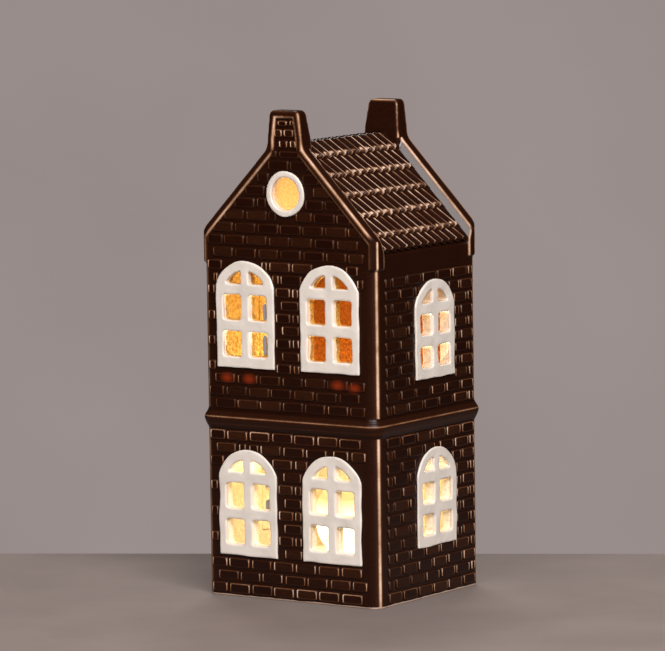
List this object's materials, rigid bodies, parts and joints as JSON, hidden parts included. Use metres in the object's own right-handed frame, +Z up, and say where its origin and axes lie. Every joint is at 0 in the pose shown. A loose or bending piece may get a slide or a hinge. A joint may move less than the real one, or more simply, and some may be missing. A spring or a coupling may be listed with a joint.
{
  "type": "lit ceramic house",
  "caption": "Hollow glazed brick house with spout gables, a tiled roof and arched windows, lit from inside by a battery light unit in its floor.",
  "frame": {"origin": "middle of the foot, on the surface that the house stands on", "axes": "+Z up, front wall faces -Y, +X to the right as seen from the front"},
  "size_m": [0.0834, 0.0754, 0.19],
  "materials": {
    "brown_glaze": "gloss",
    "white_glaze": "gloss",
    "white_plastic": "satin",
    "clear_silicone": "matt",
    "frosted_plastic": "frosted",
    "led_resin": "clear",
    "resistor_lacquer": "gloss",
    "board": "satin",
    "black_plastic": "satin",
    "steel": "bright"
  },
  "bodies": {
    "house": {"house_shell": "brown_glaze", "roof_tiles_right": "brown_glaze", "roof_tiles_left": "brown_glaze", "gable_window": "white_glaze", "front_window_lower_left": "white_glaze", "front_window_lower_right": "white_glaze", "front_window_upper_left": "white_glaze", "front_window_upper_right": "white_glaze", "left_window_lower": "white_glaze", "left_window_upper": "white_glaze", "right_window_lower": "white_glaze", "right_window_upper": "white_glaze"},
    "light_unit": {"light_housing": "white_plastic", "light_base": "white_plastic", "retaining_ring": "clear_silicone", "lamp_diffuser": "frosted_plastic", "led_lamp": "led_resin", "led_resistor": "resistor_lacquer", "circuit_board": "board", "switch_case": "steel", "coin_cell": "steel", "contact_spring": "steel", "contact_clip": "steel"},
    "switch": {"switch_slider": "black_plastic"},
    "door": {"battery_door": "white_plastic", "door_screw": "steel"}
  },
  "joints": [
    {"name": "light_unit_pull", "type": "slide", "parent": "house", "child": "light_unit", "axis": [0, 0, -1], "range_m": [0, 0.048]},
    {"name": "switch_slide", "type": "slide", "parent": "light_unit", "child": "switch", "axis": [0, 1, 0], "range_m": [0, 0.002]},
    {"name": "battery_door_lift", "type": "slide", "parent": "light_unit", "child": "door", "axis": [0, 0, -1], "range_m": [0, 0.012]}
  ]
}
